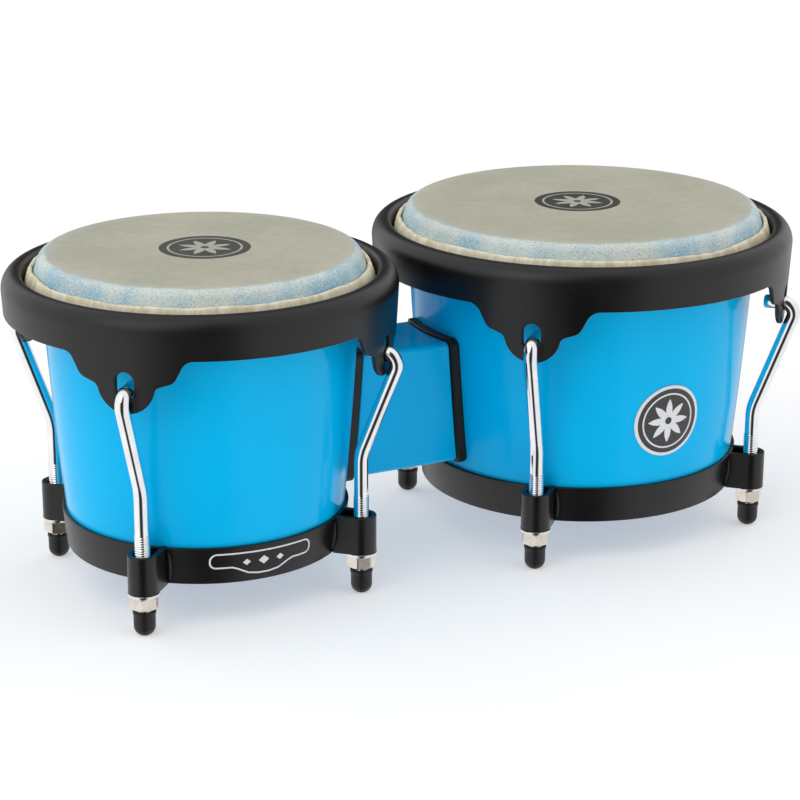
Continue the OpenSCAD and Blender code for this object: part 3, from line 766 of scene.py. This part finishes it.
def rods(name, d):
    v, f = rod_mesh(d)
    parts = [(turn(v, rod_angle(d, i), d["cx"]), f) for i in range(4)]
    return make(f"{name}_hook_rods", parts, M_CHROME, f"{name}_rim_set", [f"{name}_tension_rods"], sharp=70, wn=False)


# ---------------------------------------------------------------- feet, washers, nuts
def at_rods(d, part, i=None):
    R = d["r"] + d["rod"]
    v = np.asarray(part[0], float) + np.array([R, 0, 0])
    return [(turn(v, rod_angle(d, k), d["cx"]), part[1]) for k in (range(4) if i is None else [i])]


def caps(name, d):
    prof = [(0.0, 0.0), (1.3, 0.0), (2.3, 0.04)] + arc(CAP_D / 2 - 4.9, 4.7, 4.9, -66, 0, 12)
    prof += [(CAP_D / 2, 7.0), (CAP_D / 2, CAP_H - 2.7), (CAP_D / 2 + 0.06, CAP_H - 2.2), (CAP_D / 2 + 0.27, CAP_H - 1.85), (CAP_D / 2 + 0.35, CAP_H - 1.4),
             (CAP_D / 2 + 0.35, CAP_H - 0.6), (CAP_D / 2 + 0.22, CAP_H - 0.18), (CAP_D / 2 - 0.1, CAP_H), (4.35, CAP_H), (4.08, CAP_H - 0.25), (4.05, 3.2), (3.2, 3.0), (0.0, 3.0)]
    return make(f"{name}_rubber_feet", at_rods(d, revolve(prof, 56)), M_RUBBER, f"{name}_rim_set", [f"{name}_foot_caps"], sharp=50)


def washers(name, d):
    z0, z1 = BAND_Z0 - 1.6, BAND_Z0
    prof = fillet([(4.2, z0, 0.2), (8.0, z0, 0.45), (8.0, z1, 0.25), (4.2, z1, 0.2)], 3)
    return make(f"{name}_plated_washers", at_rods(d, revolve(prof, 72)), M_WASHER, "root", [f"{name}_washers"], sharp=50)


def hex_nut(z0, h, af, hole, spin):
    n = 96
    a = np.arange(n) * 2 * PI / n
    ph = (a - spin + PI / 6) % (PI / 3) - PI / 6
    hexr = (af / 2) / np.cos(ph + 0) if False else (af / 2) / np.cos(((a - spin) % (PI / 3)) - PI / 6)
    hexr = np.minimum(hexr, af / 2 * 1.1475)
    rc = af / 2 - 0.1
    zc = 0.8 * np.clip(hexr - rc, 0, None) / 1.4
    ring = lambda R, z: np.stack([R * np.cos(a), R * np.sin(a), z0 + z * np.ones(n)], 1)
    one = np.ones(n)
    rows = [ring(hole + 0.0, 0.55 * one), ring((hole + 0.5) * one, 0.06 * one), ring((hole + 0.7) * one, 0 * one), ring(rc * one, 0 * one), ring(hexr - 0.05, zc),
            ring(hexr, zc + 0.06), ring(hexr, h - zc - 0.06), ring(hexr - 0.05, h - zc), ring(rc * one, h * one), ring((hole + 0.7) * one, h * one), ring((hole + 0.5) * one, h - 0.06 * one), ring(hole * one, (h - 0.55) * one)]
    m = len(rows)
    F = [(k * n + j, k * n + (j + 1) % n, ((k + 1) % m) * n + (j + 1) % n, ((k + 1) % m) * n + j) for k in range(m) for j in range(n)]
    return np.vstack(rows), F


def nuts(name, d):
    for i, place in enumerate(PLACES):
        part = hex_nut(BAND_Z0 - 1.6 - 6.5, 6.5, 13.0, 4.05, math.radians((0, 30, 15, 30)[i]))
        body = f"{name}_nut_{place}"
        make(f"{name}_hex_nut_{place}", at_rods(d, part, i), M_NICKEL, body, [body], sharp=24)


# ---------------------------------------------------------------- bottom rings
def ring(name, d):
    r, cx = d["r"], d["cx"]
    e = 0.45
    z0, z1 = BAND_Z0 + 0.3, BAND_Z1 - 0.3
    band = []
    bo = [(shell_rz(r, z) + BAND_T, z) for z in np.linspace(z0 + e, z1 - e, 9)]
    bi = [(shell_rz(r, z) + 0.02, z) for z in np.linspace(z1 - e, z0 + e, 9)]
    band = [(bo[0][0] - 0.13, z0 + 0.13), (bo[0][0] - e, z0)][::-1] + bo + [(bo[-1][0] - 0.13, z1 - 0.13), (bo[-1][0] - e, z1)]
    band += [(bi[0][0] + e, z1), (bi[0][0] + 0.13, z1 - 0.13)] + bi + [(bi[-1][0] + 0.13, z0 + 0.13), (bi[-1][0] + e, z0)]
    parts = [revolve(band, 320, cx)]
    # strap: rounded rectangle swept round a U in plan
    rv = r + d["rod"]
    rb = shell_rz(r, BAND_Z0 + 10)
    w, t = 7.75, 2.8
    x0 = rb + 0.9
    mid = [(x0, -(w - t / 2)), (x0 + 0.8, -(w - t / 2))] + [(rv - 2.0, -(w - t / 2))] * (1 if rv - 2.0 > x0 + 1.2 else 0)
    mid += arc(rv, 0, w - t / 2, -90, 90, 30)
    mid += [(rv - 2.0, (w - t / 2))] * (1 if rv - 2.0 > x0 + 1.2 else 0) + [(x0 + 0.8, (w - t / 2)), (x0, (w - t / 2))]
    mid = np.array(mid)
    sec = fillet([(-t / 2, BAND_Z0, 0.55), (t / 2, BAND_Z0, 0.4), (t / 2, BAND_Z1, 0.4), (-t / 2, BAND_Z1, 0.55)], 3)
    sec = sec[:8] + sec[8:]
    rows = []
    for q, z in sec:
        o = offset(mid, -q, closed=False)
        rows.append(np.column_stack([o, np.full(len(o), z)]))
    m = len(mid)
    V = np.vstack(rows)
    k = len(rows)
    F = [(a * m + j, a * m + j + 1, ((a + 1) % k) * m + j + 1, ((a + 1) % k) * m + j) for a in range(k) for j in range(m - 1)]
    F += [tuple(a * m for a in range(k)), tuple(a * m + m - 1 for a in reversed(range(k)))]
    # weld beads in the corners outside the strap
    rs = np.random.RandomState(d["seed"] + 5)
    beads = []
    for side in (-1, 1):
        for i in range(4):
            nz = 26
            zz = np.linspace(BAND_Z0 + 2.6, BAND_Z1 - 2.6, nz)
            ph = rs.uniform(0, 6, 3)
            bv, bf = [], []
            for q, z in enumerate(zz):
                end = math.sin(PI * q / (nz - 1)) ** 1.1
                rad = (1.75 + 0.10 * math.sin(q * 1.9 + ph[0]) + 0.10 * math.sin(q * 0.7 + ph[1])) * math.sqrt(end)
                rad = max(rad, 0.05)
                Rw = shell_rz(r, z) + BAND_T
                yc = side * (w + 0.9)
                xb = math.sqrt(Rw * Rw - yc * yc) + 0.05
                for kk in range(10):
                    t2 = 2 * PI * kk / 10
                    bv.append((xb + rad * math.cos(t2), yc + rad * math.sin(t2) * 1.05, z))
            for q in range(nz - 1):
                bf += [(q * 10 + j, q * 10 + (j + 1) % 10, (q + 1) * 10 + (j + 1) % 10, (q + 1) * 10 + j) for j in range(10)]
            bf += [tuple(range(9, -1, -1)), tuple(range((nz - 1) * 10, nz * 10))]
            beads.append((turn(bv, rod_angle(d, i), cx), bf))
    for i in range(4):
        parts.append((turn(V, rod_angle(d, i), cx), F))
    ob = make(f"{name}_bottom_band", parts, M_BLACK, "root", [f"{name}_bottom_ring"], sharp=50)
    wb = make(f"{name}_weld_beads", beads, M_BLACK, "root", sharp=70, wn=False)
    return ob, wb


# ---------------------------------------------------------------- centre block, gaskets, badge, label
def end_x(drum, grow):
    d = DRUMS[drum]
    sg = 1 if drum == "macho" else -1

    def f(y, z):
        R = shell_rz(d["r"], z) + grow
        return d["cx"] + sg * np.sqrt(R * R - y * y)
    return f


def rounded_rect(w, z0, z1, rad, seg=8, step=4.0):
    base = fillet([(w / 2, z0, rad), (w / 2, z1, rad), (-w / 2, z1, rad), (-w / 2, z0, rad)], seg)
    out = []
    for i, p in enumerate(base):
        q = base[(i + 1) % len(base)]
        L = math.hypot(q[0] - p[0], q[1] - p[1])
        k = max(1, int(round(L / step)))
        out += [(p[0] + (q[0] - p[0]) * j / k, p[1] + (q[1] - p[1]) * j / k) for j in range(k)]
    return out


def between(fa, fb, e, w, z0, z1, rad):
    """A bar along X with rounded outline, running from surface fa to surface fb."""
    outline = rounded_rect(w, z0, z1, rad)
    grid = [(y, z) for y in np.arange(-w / 2 + 2.2, w / 2 - 2.0, 3.6) for z in np.arange(z0 + 2.5, z1 - 2.0, 4.0)]
    ins = offset(outline, e)
    P, tris = fill([ins], grid)
    y, z = P[:, 0], P[:, 1]
    parts = [(np.stack([fa(y, z), y, z], 1), tris), (np.stack([fb(y, z), y, z], 1), [t[::-1] for t in tris])]
    seg = 3
    steps = [(e * (1 - math.sin(PI / 2 * k / seg)), e * (1 - math.cos(PI / 2 * k / seg))) for k in range(seg + 1)]
    rows = []
    for a, b in steps:
        o = offset(outline, a)
        rows.append(np.stack([fa(o[:, 0], o[:, 1]) + b, o[:, 0], o[:, 1]], 1))
    for q in (0.25, 0.5, 0.75):
        o = np.array(outline)
        xa, xb = fa(o[:, 0], o[:, 1]) + e, fb(o[:, 0], o[:, 1]) - e
        rows.append(np.stack([xa + (xb - xa) * q, o[:, 0], o[:, 1]], 1))
    for a, b in reversed(steps):
        o = offset(outline, a)
        rows.append(np.stack([fb(o[:, 0], o[:, 1]) - b, o[:, 0], o[:, 1]], 1))
    n = len(outline)
    parts.append((np.vstack(rows), [(k * n + j, k * n + (j + 1) % n, (k + 1) * n + (j + 1) % n, (k + 1) * n + j) for k in range(len(rows) - 1) for j in range(n)]))
    v, f, _ = join(parts)
    return v, f


def block():
    v, f = between(end_x("macho", 5.0), end_x("hembra", 5.0), 0.9, 47.5, 48.0, 115.0, 3.0)
    make("centre_block_moulding", [(v, f)], M_BLUE, "root", ["centre_block"], sharp=50)
    v, f = between(end_x("macho", 0.0), end_x("macho", 5.0), 0.9, 50.5, 46.5, 116.5, 4.0)
    make("macho_rubber_gasket", [(v, f)], M_RUBBER, "root", ["macho_gasket"], sharp=50)
    v, f = between(end_x("hembra", 5.0), end_x("hembra", 0.0), 0.9, 50.5, 46.5, 116.5, 4.0)
    make("hembra_rubber_gasket", [(v, f)], M_RUBBER, "root", ["hembra_gasket"], sharp=50)


def on_wall(drum, ang, grow):
    """(u, v, depth) on a drum's wall: u along the tangent, v the height."""
    d = DRUMS[drum]

    def f(u, v, dep):
        u, v = np.asarray(u, float), np.asarray(v, float)
        R = np.array([shell_rz(d["r"], z) for z in v]) + grow - dep
        x = np.sqrt(R * R - u * u)
        return turn(np.stack([x, u, v], 1), ang, d["cx"])
    return f


def badge():
    circle = [(19.7 * math.cos(t), BADGE_Z + 19.7 * math.sin(t)) for t in np.arange(120) * 2 * PI / 120]
    grid = [(u, BADGE_Z + v) for u in np.arange(-18, 18.1, 3) for v in np.arange(-18, 18.1, 3)]
    v, f = plate(circle, [], 0.75, 0.3, on_wall("hembra", BADGE_ANG, 0.8), grid)
    make("hembra_round_badge", [(v, f)], M_BADGE, "root", ["hembra_badge"], sharp=50)


def label():
    """Outline print on the small drum's band, with three plain diamonds."""
    a_mid = math.radians(-90.0)
    ztop, zbot, zdip, hl = 38.6, 31.2, 26.6, 27.0
    pts = [(-hl, zbot, 3.0), (-hl * 0.60, zbot, 2.0)]
    dip = [(-hl * 0.50, zbot - 1.0, 0), (-hl * 0.30, zdip + 0.9, 0), (-hl * 0.1, zdip + 0.1, 0), (hl * 0.1, zdip + 0.1, 0), (hl * 0.30, zdip + 0.9, 0), (hl * 0.50, zbot - 1.0, 0)]
    pts += dip + [(hl * 0.60, zbot, 2.0), (hl, zbot, 3.0), (hl, ztop, 3.4), (-hl, ztop, 3.4)]
    base = fillet(pts, 6)
    out = []
    for i, p in enumerate(base):
        q = base[(i + 1) % len(base)]
        L = math.hypot(q[0] - p[0], q[1] - p[1])
        k = max(1, int(round(L / 2.0)))
        out += [(p[0] + (q[0] - p[0]) * j / k, p[1] + (q[1] - p[1]) * j / k) for j in range(k)]
    wrap = on_wall("macho", a_mid, BAND_T + 0.10)
    steps = [(-0.45, 0.14), (-0.42, 0.03), (-0.34, 0.0), (0.34, 0.0), (0.42, 0.03), (0.45, 0.14)]
    rows = [wrap(*offset(out, a).T, b) for a, b in steps]
    n, m = len(out), len(steps)
    parts = [(np.vstack(rows), [(k * n + j, k * n + (j + 1) % n, ((k + 1) % m) * n + (j + 1) % n, ((k + 1) % m) * n + j) for k in range(m) for j in range(n)])]
    for c in (-9.0, 0.0, 9.0):
        s = 2.3 if c == 0 else 1.7
        dia = fillet([(c + s * 1.25, 33.4, 0.2), (c, 33.4 + s, 0.2), (c - s * 1.25, 33.4, 0.2), (c, 33.4 - s, 0.2)], 2)
        v, f = plate(dia, [], 0.14, 0.05, wrap, [(c, 33.4)], clear=0.2)
        parts.append((v, f))
    make("macho_band_print", parts, M_LABEL, "root", sharp=60, wn=False)


for nm, dd in DRUMS.items():
    shell(nm, dd)
    skin(nm, dd)
    rim(nm, dd)
    rods(nm, dd)
    caps(nm, dd)
    washers(nm, dd)
    nuts(nm, dd)
    ring(nm, dd)
block()
badge()
label()

# hidden hardware keeps its CAD mesh and gets a plated-steel finish
for nm in ("macho_flesh_hoop", "hembra_flesh_hoop", "block_bolts", "block_bolt_nuts", "block_bolt_washers",
           "macho_backing_plate", "hembra_backing_plate"):
    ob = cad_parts[nm]
    for s in ob.material_slots:
        s.material = M_ZINC
    if not ob.material_slots:
        ob.data.materials.append(M_ZINC)

# ---------------------------------------------------------------- floor, light and camera
def floor():
    me = bpy.data.meshes.new("floor")
    s = 40.0
    me.from_pydata([(-s, -s, 0), (s, -s, 0), (s, s, 0), (-s, s, 0)], [], [(0, 1, 2, 3)])
    ob = bpy.data.objects.new("floor", me)
    bpy.context.scene.collection.objects.link(ob)
    m = Mat("floor_pale")
    m.set(Base_Color=m.mix(m.noise(6, 2), (0.65, 0.65, 0.65), (0.67, 0.67, 0.67)), Roughness=m.map(m.noise(30, 2), 0.3, 0.7, 0.6, 0.7))
    m.set(Specular_IOR_Level=0.0, Emission_Color=(1, 1, 1, 1), Emission_Strength=0.42)
    me.materials.append(m.m)
    # glossy rays pass it and find the studio's light below as well as above
    ob.visible_glossy = False
    ob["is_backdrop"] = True


def area(name, loc, aim, w, h, power, color=(1, 1, 1)):
    L = bpy.data.lights.new(name, "AREA")
    L.shape = "RECTANGLE"
    L.size, L.size_y, L.energy, L.color = w, h, power, color
    ob = bpy.data.objects.new(name, L)
    bpy.context.scene.collection.objects.link(ob)
    ob.location = loc
    ob.rotation_euler = (Vector(aim) - Vector(loc)).to_track_quat("-Z", "Y").to_euler()
    return ob


floor()
world = bpy.data.worlds.new("studio")
bpy.context.scene.world = world
world.use_nodes = True
wt = world.node_tree
bg = wt.nodes["Background"]
# a white tent, open in front: dark over a soft-edged gap, a little brighter at the left


def wnode(op, a, b=0.0):
    n = wt.nodes.new("ShaderNodeMath")
    n.operation = op
    for k, v in ((0, a), (1, b)):
        if hasattr(v, "is_output"):
            wt.links.new(v, n.inputs[k])
        else:
            n.inputs[k].default_value = v
    return n.outputs[0]


def wmap(v, a, b, c, d):
    n = wt.nodes.new("ShaderNodeMapRange")
    n.interpolation_type = "SMOOTHSTEP"
    wt.links.new(v, n.inputs[0])
    for k, q in ((1, a), (2, b), (3, c), (4, d)):
        n.inputs[k].default_value = q
    return n.outputs[0]


sp = wt.nodes.new("ShaderNodeSeparateXYZ")
wt.links.new(wt.nodes.new("ShaderNodeTexCoord").outputs["Generated"], sp.inputs[0])
X, Y, Z = sp.outputs
FRONT = math.radians(-115.5)
fx, fy = math.cos(FRONT), math.sin(FRONT)
flat_len = wnode("SQRT", wnode("ADD", wnode("MULTIPLY", X, X), wnode("ADD", wnode("MULTIPLY", Y, Y), 1e-6)))
ahead = wnode("DIVIDE", wnode("ADD", wnode("MULTIPLY", X, fx), wnode("MULTIPLY", Y, fy)), flat_len)
front = wmap(ahead, math.cos(math.radians(34)), math.cos(math.radians(13)), 0.0, 1.0)
# a narrower gap at the back, so that chrome reads as chrome from behind too
back = wmap(wnode("MULTIPLY", ahead, -1.0), math.cos(math.radians(27)), math.cos(math.radians(10)), 0.0, 0.92)
gap_open = wnode("MULTIPLY", wnode("ADD", front, back), wmap(Z, 0.95, 0.7, 0.0, 1.0))
side = wnode("ADD", wnode("MULTIPLY", X, fy), wnode("MULTIPLY", Y, -fx))
level = wnode("ADD", wnode("MULTIPLY", side, 0.06), 1.03)
wt.links.new(wnode("MULTIPLY", level, wnode("SUBTRACT", 1.0, wnode("MULTIPLY", gap_open, 0.97))), bg.inputs[1])
bg.inputs[0].default_value = (1.0, 1.0, 1.0, 1.0)
area("key_left", (-1.5, -0.9, 1.6), (0, 0, 0.1), 1.6, 1.6, 8)

cam = bpy.data.cameras.new("camera")
cam.lens, cam.sensor_width = 111.4, 36.0
cam.clip_start, cam.clip_end = 0.01, 200
co = bpy.data.objects.new("camera", cam)
bpy.context.scene.collection.objects.link(co)
yaw, pitch, roll = 0.474372, -0.313476, 0.00243
dv = Vector((math.sin(yaw) * math.cos(pitch), math.cos(yaw) * math.cos(pitch), math.sin(pitch)))
rv_ = Vector((math.cos(yaw), -math.sin(yaw), 0))
uv = rv_.cross(dv)
r2 = rv_ * math.cos(roll) + uv * math.sin(roll)
u2 = -rv_ * math.sin(roll) + uv * math.cos(roll)
co.matrix_world = Matrix(((r2.x, u2.x, -dv.x, -0.58181), (r2.y, u2.y, -dv.y, -1.12218), (r2.z, u2.z, -dv.z, 0.48766), (0, 0, 0, 1)))
bpy.context.scene.camera = co
bpy.context.scene.view_settings.view_transform = "Standard"

flat = lambda b: [[float(q) for q in p] for p in b]
{"cad": flat(cad_bounds), "visual": flat(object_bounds())}
